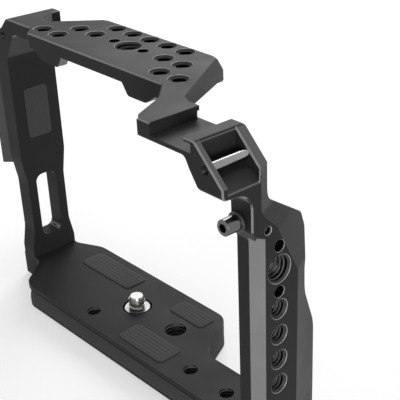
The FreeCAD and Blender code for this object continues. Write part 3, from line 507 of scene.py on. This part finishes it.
def apply_modifiers(thing):
    """Makes what an object's modifiers show its own plain mesh."""
    depsgraph = bpy.context.evaluated_depsgraph_get()
    result = bpy.data.meshes.new_from_object(thing.evaluated_get(depsgraph))
    result.name = thing.name
    thing.modifiers.clear()
    thing.data = result
    return result


def points_mesh(name, places, **carried_vectors):
    """Loose points that carry vectors by name."""
    mesh = plain_mesh(name, [tuple(place) for place in places])
    for label, vectors in carried_vectors.items():
        layer = mesh.attributes.new(label, "FLOAT_VECTOR", "POINT")
        for item, vector in zip(layer.data, vectors):
            item.vector = vector
    return mesh


def aimed_points(name, places):
    """Loose points from (place, axis) pairs; each carries the turn that takes +Z to its axis."""
    turns = [UP.rotation_difference(Vector(axis)).to_euler() for place, axis in places]
    return points_mesh(name, [place for place, axis in places], aim=turns)


def baked(name, mesh, tree, values):
    """Runs a Geometry Nodes tree on a mesh and keeps the result as a plain mesh object."""
    thing = in_scene(name, mesh)
    modifier = thing.modifiers.new("nodes", "NODES")
    modifier.node_group = tree
    for item in tree.interface.items_tree:
        if item.item_type == "SOCKET" and item.in_out == "INPUT" and item.name in values:
            modifier[item.identifier] = values[item.name]
    if not apply_modifiers(thing).polygons:
        raise RuntimeError(name + " came out empty")
    return thing


def pattern_places(mount):
    """Hole centres of a mount, in metres."""
    centre = Vector(mount["pos_m"])
    dims = mount["dims"]
    if mount["kind"] != "bolt_pattern":
        return [centre]
    axis = Vector(mount["axis"])
    units = [Vector(unit) for unit in ((1, 0, 0), (0, 1, 0), (0, 0, 1))]
    rows = [unit for unit in units if abs(unit.dot(axis)) < 0.5]
    half_a = rows[0] * dims.get("spacing_x_mm", 0.0) * MM / 2
    half_b = rows[1] * dims.get("spacing_y_mm", 0.0) * MM / 2
    if half_a.length > 0 and half_b.length > 0:
        return [centre + a * half_a + b * half_b for a in (-1, 1) for b in (-1, 1)]
    half = half_a + half_b
    return [centre - half, centre + half]


def side_of(axis):
    """Name of the face that a hole with this outward axis opens in."""
    return "side" if abs(axis[0]) > 0.5 else "top" if axis[2] > 0 else "base"


def mouths(mounts):
    """Mouth centre and outward axis of every hole of the mounts, on the outer face."""
    faces = {"top": cad_box[1][2], "side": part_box("main_frame")[1][0], "base": 0.0}
    found = []
    for mount in (MOUNTS[name] for name in mounts):
        side = side_of(mount["axis"])
        for centre in pattern_places(mount):
            centre[0 if side == "side" else 2] = faces[side]
            found.append((centre, mount["axis"]))
    return found


def on_circle(radius, turn, height):
    """Point on a circle about +Z, from millimetres to metres."""
    return radius * math.cos(turn) * MM, radius * math.sin(turn) * MM, height * MM


def ring_mesh(name, profile, steps=48):
    """Closed ring about +Z from a closed (radius, height) profile in millimetres."""
    count = len(profile)
    work = bmesh.new()
    turns = [2 * math.pi * step / steps for step in range(steps)]
    vertices = [work.verts.new(on_circle(radius, turn, height))
                for turn in turns for radius, height in profile]
    for step in range(steps):
        here, there = step * count, (step + 1) % steps * count
        for k in range(count):
            after = (k + 1) % count
            corners = (here + k, here + after, there + after, there + k)
            work.faces.new([vertices[corner] for corner in corners])
    bmesh.ops.recalc_face_normals(work, faces=work.faces)
    mesh = bpy.data.meshes.new(name)
    work.to_mesh(mesh)
    work.free()
    keep_sharp(mesh, 40)
    return mesh


def turned_mesh(name, rings, steps=64):
    """Closed mesh of revolution about +Z from (radius, height) pairs in millimetres."""
    vertices = [on_circle(radius, 2 * math.pi * step / steps, height)
                for radius, height in rings for step in range(steps)]
    faces = []
    for low in range(0, (len(rings) - 1) * steps, steps):
        high = low + steps
        for step in range(steps):
            after = (step + 1) % steps
            faces.append((low + step, low + after, high + after, high + step))
    faces.append(tuple(reversed(range(steps))))
    faces.append(tuple(range((len(rings) - 1) * steps, len(rings) * steps)))
    return plain_mesh(name, vertices, faces)


def prism_mesh(name, corners, low, high):
    """Straight prism on an outline in x and y, millimetres."""
    count = len(corners)
    vertices = [(x * MM, y * MM, z * MM) for z in (low, high) for x, y in corners]
    faces = [(i, (i + 1) % count, count + (i + 1) % count, count + i) for i in range(count)]
    faces.append(tuple(reversed(range(count))))
    faces.append(tuple(range(count, 2 * count)))
    return plain_mesh(name, vertices, faces)


def recessed(name, mesh, tool_mesh, material):
    """Mesh with a tool cut out of it, as a plain mesh object with its sharp edges kept."""
    thing = in_scene(name, mesh)
    tool = in_scene(name + "_tool", tool_mesh)
    cut = thing.modifiers.new("recess", "BOOLEAN")
    cut.operation = "DIFFERENCE"
    cut.solver = "EXACT"
    cut.object = tool
    result = apply_modifiers(thing)
    bpy.data.objects.remove(tool)
    keep_sharp(result, 35)
    result.materials.clear()
    result.materials.append(material)
    return thing


class CAGE_OT_frame_finish(bpy.types.Operator):
    """Gives the milled frame, base and rail their anodised finish, with a highlight painted on the
    bevels.
    """

    bl_idname = "cage.frame_finish"
    bl_label = "Anodised frame"

    mottle = 0.05
    # Share of the painted bevel highlight on the base and rail
    rail_facets = 0.3
    # Surfaces of the holes, painted highlight on the threads and rims and painted shade in the
    # bores: material, property with its colour, brightness against it, gloss
    hole_surfaces = (
        ("thread anodised", "painted_highlight", 0.5, ANODISE_GLOSS),
        ("rim anodised", "anodise", 2.2, ANODISE_GLOSS),
        ("bright bevel", "painted_highlight", 1.6, PLAIN_GLOSS),
        ("deep anodised", "anodise", 0.15, BORE_GLOSS),
    )

    def execute(self, context):
        finish = context.scene.cage_finish
        blasted = grain_and_highlight_group()
        mottled = {"Mottle": self.mottle}
        # Facets at 45 degrees take the painted highlight colour
        bevels = {**mottled, "Facets": 1.0, "Facet colour": (*finish.painted_highlight, 1.0)}
        anodised = finish_material(
            "black anodised", blasted, finish.anodise, bevels, gloss=ANODISE_GLOSS)
        rail = finish_material(
            "rail anodised", blasted, finish.anodise, {**bevels, "Facets": self.rail_facets},
            gloss=ANODISE_GLOSS)
        for name, source, share, gloss in self.hole_surfaces:
            colour = shaded(getattr(finish, source), share)
            finish_material(name, blasted, colour, mottled, gloss=gloss)
        give("main_frame", anodised)
        give("base_plate", rail)
        give("accessory_rail", rail)
        return {"FINISHED"}


class CAGE_OT_small_parts_finish(bpy.types.Operator):
    """Gives the screws, pins, magnets and pads their finishes."""

    bl_idname = "cage.small_parts_finish"
    bl_label = "Small parts"

    # Material, brightness against the steel colour, lowest and highest roughness, metallic, nodes
    steels = (
        ("black oxide steel", 0.06, 0.3, 0.42, 0.9,
         ("joint_screws_right", "joint_screws_left", "rail_screws", "rail_stops")),
        ("polished steel", 0.48, 0.14, 0.24, 1.0,
         ("base_dowels", "strap_pin_right", "strap_pin_left", "tool_magnets")),
        ("dark steel", 0.22, 0.16, 0.26, 1.0, ("lug_screw",)),
        ("plated steel", 0.45, 0.22, 0.36, 1.0, ("camera_screw", "slot_driver")),
        ("spring steel", 0.4, 0.3, 0.4, 1.0, ("camera_screw_clip",)),
    )
    silicone_grain = {"Mottle": 0.1, "Grain": 5000.0, "Depth": 0.03 * MM}
    nylon_grain = {"Mottle": 0.05, "Grain": 3000.0}
    nylon_colour = (0.05, 0.05, 0.05)

    def execute(self, context):
        finish = context.scene.cage_finish
        turned = turned_group()
        blasted = bpy.data.node_groups["blasted grain"]
        for name, share, low, high, metallic, nodes in self.steels:
            steel = finish_material(
                name, turned, shaded(finish.steel, share), {"Low": low, "High": high}, metallic)
            for node in nodes:
                give(node, steel)
        silicone = finish_material(
            "silicone", blasted, finish.rubber, self.silicone_grain, gloss=SILICONE_GLOSS)
        for node in PAD_SIDES:
            give(node, silicone)
        give("lug_washer", finish_material("nylon", blasted, self.nylon_colour, self.nylon_grain))
        return {"FINISHED"}


class CAGE_OT_hole_threads(bpy.types.Operator):
    """Lays visible thread turns in every tapped hole."""

    bl_idname = "cage.hole_threads"
    bl_label = "Threads in the holes"

    steps_per_turn = 32
    # The ridge's middle lies outside the bore by its height over the first of these,
    # and the fine thread's ridge is its pitch over the second
    ridge_to_inset = 4
    fine_pitch_to_ridge = 3

    def execute(self, context):
        sizes = context.scene.cage_threads
        # The thread turns are coloured as a painted highlight, lighter than the anodise
        tree = thread_tree(bpy.data.materials["thread anodised"])
        threads = {
            "quarter": (sizes.quarter_pitch, sizes.ridge),
            "large": (sizes.large_pitch, sizes.ridge),
            "fine": (sizes.fine_pitch, sizes.fine_pitch / self.fine_pitch_to_ridge),
        }
        for size, (pitch, ridge) in threads.items():
            bore, _, mounts = HOLES[size]
            for side, length in THREAD_LENGTHS.items():
                places = [(mouth - Vector(axis) * (length + THREAD_INSET) * MM, axis)
                          for mouth, axis in mouths(mounts) if side_of(axis) == side]
                if not places:
                    continue
                name = "thread_" + size + "_" + side
                piece = baked(name, aimed_points(name, places), tree, {
                    "Radius": bore * MM + ridge / self.ridge_to_inset, "Pitch": pitch,
                    "Length": length * MM, "Ridge": ridge, "Steps per turn": self.steps_per_turn})
                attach(piece, "frame")
        return {"FINISHED"}


class CAGE_OT_hole_rims(bpy.types.Operator):
    """Lines the countersunk mouth of every hole with a dim painted highlight and its bore with
    painted shade, and paints a bright highlight on its outer edge.
    """

    bl_idname = "cage.hole_rims"
    bl_label = "Rims of the holes"

    # Millimetres, and the largest share of a countersink's width that the bead takes
    lining = 0.04
    bead = 0.13
    bore_depth = 3.0
    bead_share = 0.35

    def execute(self, context):
        for size, (radius, rim, mounts) in HOLES.items():
            for part, profile, coat in self.sections(radius, rim):
                name = "hole_" + part + "_" + size
                template = bpy.data.objects.new(name + "_ring", ring_mesh(name, profile))
                tree = template_tree(template, bpy.data.materials[coat])
                piece = baked(name, aimed_points(name + "_points", mouths(mounts)), tree, {})
                bpy.data.objects.remove(template)
                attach(piece, "frame")
        return {"FINISHED"}

    def sections(self, radius, rim):
        """Part, closed (radius, height) profile and material of a hole's three rings: a dim
        painted highlight, a bright painted highlight and painted shade.
        """
        depth = radius - rim
        lining = ((rim, 0.0), (radius, depth), (radius, depth + self.lining),
                  (rim - self.lining, 0.0))
        b = min(self.bead, self.bead_share * (rim - radius))
        middle = rim - b / 2
        edge = ((middle + b, -b), (middle, 0.0), (middle - b, -b), (middle, -2 * b))
        wall = radius - self.lining / 2
        bore = ((radius, depth), (radius, -self.bore_depth), (wall, -self.bore_depth),
                (wall, depth))
        return (("lining", lining, "rim anodised"), ("edge", edge, "bright bevel"),
                ("bore", bore, "deep anodised"))


class CAGE_OT_camera_screw(bpy.types.Operator):
    """Builds the captive screw with its ribbed rim, coin slot and thread."""

    bl_idname = "cage.camera_screw"
    bl_label = "Camera screw"

    # (radius, height) in millimetres, from the head's underside to the tip
    outline = ((6.6, 0.3), (7.2, 0.6), (7.2, 2.9), (6.9, 3.3), (2.4, 3.3), (2.4, 9.9),
               (2.72, 10.1), (2.72, 14.0), (2.35, 14.8))
    slot_corners = ((-8.5, -0.9), (8.5, -0.9), (8.5, 0.9), (-8.5, 0.9))
    slot_levels = (-1.0, 1.8)
    ribs = {"Ribs": 72, "Radius": 7.22 * MM, "Rib width": 0.38 * MM, "Rib height": 2.0 * MM,
            "Level": 1.75 * MM}
    thread = {"Radius": 2.75 * MM, "Length": 3.3 * MM, "Ridge": 0.4 * MM, "Steps per turn": 48}
    thread_start = 10.35

    def execute(self, context):
        steel = bpy.data.materials["plated steel"]
        pitch = context.scene.cage_threads.quarter_pitch
        body = turned_mesh("camera_screw_body", self.outline)
        slot = prism_mesh("slot", self.slot_corners, *self.slot_levels)
        screw = recessed("camera_screw_body", body, slot, steel)
        axis_point = aimed_points("grip", [((0, 0, 0), UP)])
        grip = baked("camera_screw_grip", axis_point, rim_rib_tree(steel), self.ribs)
        first_turn = aimed_points("turns", [((0, 0, self.thread_start * MM), UP)])
        turns = baked("camera_screw_thread", first_turn, thread_tree(steel),
                      {**self.thread, "Pitch": pitch})
        for piece in (screw, grip, turns):
            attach(piece, "screw")
        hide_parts("camera_screw")
        return {"FINISHED"}


class CAGE_OT_lug_screw(bpy.types.Operator):
    """Builds the screw that holds the strap lug, with its hexagon socket and thread."""

    bl_idname = "cage.lug_screw"
    bl_label = "Lug screw"

    # (radius, height) in millimetres, from the head's end to the point
    outline = ((2.2, 0.0), (2.45, 0.25), (2.45, 4.7), (1.2, 4.7), (1.2, 9.5), (0.9, 9.8))
    socket_radius = 1.44
    socket_levels = (-1.0, 2.2)
    thread = {"Radius": 1.2 * MM, "Pitch": 0.5 * MM, "Length": 4.4 * MM, "Ridge": 0.24 * MM,
              "Steps per turn": 32}
    thread_start = 4.95
    head_end = (81.0, -28.5, 85.0)

    def execute(self, context):
        steel = bpy.data.materials["dark steel"]
        forward = UP.rotation_difference(Vector((0, 1, 0))).to_matrix().to_4x4()
        seat = Matrix.Translation(Vector(self.head_end) * MM) @ forward
        turns = [math.radians(60 * k) for k in range(6)]
        corners = [(self.socket_radius * math.cos(turn), self.socket_radius * math.sin(turn))
                   for turn in turns]
        socket = prism_mesh("socket", corners, *self.socket_levels)
        body = turned_mesh("lug_screw_body", self.outline)
        screw = recessed("lug_screw_body", body, socket, steel)
        first_turn = aimed_points("turns", [((0, 0, self.thread_start * MM), UP)])
        thread = baked("lug_screw_thread", first_turn, thread_tree(steel), self.thread)
        for piece in (screw, thread):
            piece.data.transform(seat)
            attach(piece, "lug_pin")
        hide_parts("lug_screw")
        return {"FINISHED"}


class CAGE_OT_pads(bpy.types.Operator):
    """Moulds the silicone pads: soft edges and fine ribs on the side that meets the body."""

    bl_idname = "cage.pads"
    bl_label = "Silicone pads"

    rib_spacing = 1.5 * MM
    rib_width = 0.7 * MM
    rib_height = 0.12 * MM
    margin = 0.9 * MM
    least_width = 3 * margin
    probe = 0.2 * MM
    edge_round = 0.3 * MM
    edge_steps = 3
    rounded_from = math.radians(50)
    # Vertices this close are one, faces this near to a plane are one, and what lies this near
    # to the outer side is on it
    same_place = 0.001 * MM
    same_plane = math.radians(1)
    same_level = 0.01 * MM

    def execute(self, context):
        material = bpy.data.materials["silicone"]
        tree = pad_rib_tree(material)
        sizes = {"Rib width": self.rib_width, "Rib height": self.rib_height}
        for node, (out, run) in PAD_SIDES.items():
            out, run = Vector(out), Vector(run)
            pad = self.plate(node, out, material)
            places, lengths = self.rib_places(pad.data, out, run)
            turn = Matrix((out, out.cross(-run), run)).transposed().to_euler()
            points = points_mesh(
                node + "_points", places, aim=[turn] * len(places),
                reach=[(1.0, 1.0, length) for length in lengths])
            ribs = baked(node + "_ribs", points, tree, sizes)
            for piece in (pad, ribs):
                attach(piece, "frame")
            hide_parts(node)
        return {"FINISHED"}

    def plate(self, node, out, material):
        """The pad's solid with rounded edges, its outer side lowered by the ribs' height."""
        mesh = frame["nodes"][node].data.copy()
        work = bmesh.new()
        work.from_mesh(mesh)
        bmesh.ops.remove_doubles(work, verts=work.verts, dist=self.same_place)
        bmesh.ops.dissolve_limit(
            work, angle_limit=self.same_plane, verts=work.verts, edges=work.edges)
        level = max(vertex.co.dot(out) for vertex in work.verts)
        for vertex in work.verts:
            if level - vertex.co.dot(out) < self.same_level:
                vertex.co -= out * self.rib_height
        work.to_mesh(mesh)
        work.free()
        mesh.materials.clear()
        mesh.materials.append(material)
        pad = in_scene(node + "_moulding", mesh)
        bevel = pad.modifiers.new("soft edges", "BEVEL")
        bevel.width = self.edge_round
        bevel.segments = self.edge_steps
        bevel.limit_method = "ANGLE"
        bevel.angle_limit = self.rounded_from
        keep_sharp(apply_modifiers(pad), 40)
        return pad

    def rib_places(self, mesh, out, run):
        """Centre and length of each rib that fits inside the outer side."""
        across = out.cross(run)
        corners = [vertex.co for vertex in mesh.vertices]
        level = max(corner.dot(out) for corner in corners)
        low_run, high_run = min(c.dot(run) for c in corners), max(c.dot(run) for c in corners)
        low, high = min(c.dot(across) for c in corners), max(c.dot(across) for c in corners)
        surface = BVHTree.FromPolygons(corners, [tuple(face.vertices) for face in mesh.polygons])
        rows = int((high - low - 2 * self.margin) / self.rib_spacing)
        first = (low + high - rows * self.rib_spacing) / 2
        places, lengths = [], []
        for row in range(rows + 1):
            side = first + row * self.rib_spacing
            inside = []
            for step in range(int((high_run - low_run) / self.probe)):
                along = low_run + step * self.probe
                start = run * along + across * side + out * (level + MM)
                hit = surface.ray_cast(start, -out)[0]
                if hit is not None and abs(hit.dot(out) - level) < self.same_level:
                    inside.append(along)
            if inside and inside[-1] - inside[0] > self.least_width:
                places.append(run * (inside[0] + inside[-1]) / 2 + across * side + out * level)
                lengths.append(inside[-1] - inside[0] - 2 * self.margin)
        return places, lengths


def look_along(azimuth, pitch):
    """Rotation of a level camera that looks down by the pitch from the given azimuth."""
    a = math.radians(azimuth)
    e = math.radians(pitch)
    forward = Vector((-math.sin(a) * math.cos(e), math.cos(a) * math.cos(e), -math.sin(e)))
    return forward.to_track_quat("-Z", "Y")


class CAGE_OT_stage(bpy.types.Operator):
    """Makes the floor, the lamps, the world and the photograph's camera."""

    bl_idname = "cage.stage"
    bl_label = "Stage"

    # Lamps: place from the cage's middle and width, metres, and the property with the power
    lamps = (
        ("key", (0.1, 0.1, 0.9), 0.5, "key_power"),
        ("side", (0.82, -0.52, 0.08), 0.35, "side_power"),
        ("back", (-0.45, 0.6, 0.6), 0.5, "fill_power"),
    )
    # Floor: half its width and its drop below the cage, metres, and its roughness
    floor_reach = 6.0
    floor_drop = 0.0002
    floor_roughness = 0.9
    # Distances over which the floor's own light grows, and its strength at both ends
    lift_reach = (0.3, 1.6)
    lift_strength = (0.5, 0.88)
    # World strength for lighting, and for what shows the background
    world_strength = (0.25, 1.0)
    sensor_mm = 36.0
    clip_start = 0.01
    clip_end = 20.0

    def execute(self, context):
        scene = context.scene
        stage = scene.cage_stage
        scene.view_settings.view_transform = "Standard"
        self.make_floor(stage)
        self.make_world(scene)
        centre = (Vector(cad_box[0]) + Vector(cad_box[1])) / 2
        for name, place, width, power in self.lamps:
            self.make_lamp(name, centre, Vector(place), width, getattr(stage, power))
        self.make_camera(scene)
        return {"FINISHED"}

    def make_floor(self, stage):
        r = self.floor_reach
        corners = [(-r, -r, 0), (r, -r, 0), (r, r, 0), (-r, r, 0)]
        mesh = plain_mesh("floor", corners, [(0, 1, 2, 3)])
        floor = in_scene("floor", mesh)
        floor.location.z = -self.floor_drop
        material = bpy.data.materials.new("floor")
        material.use_nodes = True
        tree = material.node_tree
        shader = tree.nodes["Principled BSDF"]
        shader.inputs["Base Color"].default_value = (*stage.floor_colour, 1.0)
        shader.inputs["Roughness"].default_value = self.floor_roughness
        shader.inputs["Emission Color"].default_value = (1.0, 1.0, 1.0, 1.0)
        strength = maths(
            tree, "MULTIPLY", self.background_rays(tree), self.far_lift(tree), (-300, -300))
        feed(tree, strength, shader.inputs["Emission Strength"])
        mesh.materials.append(material)

    def far_lift(self, tree):
        """Grows away from the object, where the lamps fade, so the floor meets the background."""
        away = add_node(tree, "ShaderNodeVectorMath", (-800, -600), {
            0: object_place(tree, (-1000, -600))}, operation="LENGTH")
        return mapped(tree, away.outputs["Value"], self.lift_reach, self.lift_strength,
                      (-600, -600), "SMOOTHSTEP")

    def background_rays(self, tree):
        """1 for camera, glossy and transmission rays, which all see the pale background."""
        path = add_node(tree, "ShaderNodeLightPath", (-1000, -300)).outputs
        seen = maths(tree, "MAXIMUM", path["Is Camera Ray"], path["Is Glossy Ray"], (-800, -300))
        return maths(tree, "MAXIMUM", seen, path["Is Transmission Ray"], (-620, -300))

    def make_world(self, scene):
        world = bpy.data.worlds.new("studio")
        scene.world = world
        world.use_nodes = True
        tree = world.node_tree
        background = tree.nodes["Background"]
        background.inputs["Color"].default_value = (1.0, 1.0, 1.0, 1.0)
        strength = mapped(
            tree, self.background_rays(tree), (0.0, 1.0), self.world_strength, (-250, 0))
        feed(tree, strength, background.inputs["Strength"])

    def make_lamp(self, name, centre, place, width, power):
        data = bpy.data.lights.new(name, "AREA")
        data.size = width
        data.energy = power
        lamp = in_scene(name, data)
        lamp.location = centre + place
        lamp.rotation_mode = "QUATERNION"
        lamp.rotation_quaternion = (-place).to_track_quat("-Z", "Y")
        lamp.visible_camera = False

    def make_camera(self, scene):
        data = bpy.data.cameras.new("photograph view")
        data.sensor_width = self.sensor_mm
        data.lens = FOCAL_PIXELS / PHOTO_PIXELS * data.sensor_width
        middle = PHOTO_PIXELS / 2
        data.shift_x = (middle - CENTRE_PIXEL[0]) / PHOTO_PIXELS
        data.shift_y = (CENTRE_PIXEL[1] - middle) / PHOTO_PIXELS
        data.clip_start = self.clip_start
        data.clip_end = self.clip_end
        camera = in_scene("photograph view", data)
        camera.location = Vector(EYE_MM) * MM
        camera.rotation_mode = "QUATERNION"
        camera.rotation_quaternion = look_along(VIEW_AZIMUTH, VIEW_PITCH)
        scene.camera = camera


class CAGE_PT_panel(bpy.types.Panel):
    """Shows the cage's settings and the buttons of its steps."""

    bl_idname = "CAGE_PT_panel"
    bl_label = "Camera cage"
    bl_space_type = "VIEW_3D"
    bl_region_type = "UI"
    bl_category = "Cage"

    def draw(self, context):
        layout = self.layout
        for group, labels in (
                ("cage_finish", ("anodise", "painted_highlight", "steel", "rubber")),
                ("cage_threads", ("quarter_pitch", "large_pitch", "fine_pitch", "ridge")),
                ("cage_stage", ("floor_colour", "key_power", "side_power", "fill_power"))):
            for label in labels:
                layout.prop(getattr(context.scene, group), label)
        for operator in OPERATORS:
            layout.operator(operator.bl_idname)


GROUPS = {"cage_finish": CageFinish, "cage_threads": CageThreads, "cage_stage": CageStage}
OPERATORS = (CAGE_OT_frame_finish, CAGE_OT_small_parts_finish, CAGE_OT_hole_threads,
             CAGE_OT_hole_rims, CAGE_OT_camera_screw, CAGE_OT_lug_screw, CAGE_OT_pads,
             CAGE_OT_stage)


def register():
    for name, group in GROUPS.items():
        bpy.utils.register_class(group)
        setattr(bpy.types.Scene, name, bpy.props.PointerProperty(type=group))
    for operator in OPERATORS:
        bpy.utils.register_class(operator)
    bpy.utils.register_class(CAGE_PT_panel)


def unregister():
    bpy.utils.unregister_class(CAGE_PT_panel)
    for operator in reversed(OPERATORS):
        bpy.utils.unregister_class(operator)
    for name, group in reversed(list(GROUPS.items())):
        delattr(bpy.types.Scene, name)
        bpy.utils.unregister_class(group)


def main():
    register()
    bpy.ops.cage.frame_finish()
    bpy.ops.cage.small_parts_finish()
    bpy.ops.cage.hole_threads()
    bpy.ops.cage.hole_rims()
    bpy.ops.cage.camera_screw()
    bpy.ops.cage.lug_screw()
    bpy.ops.cage.pads()
    bpy.ops.cage.stage()


if __name__ == "__main__":
    main()
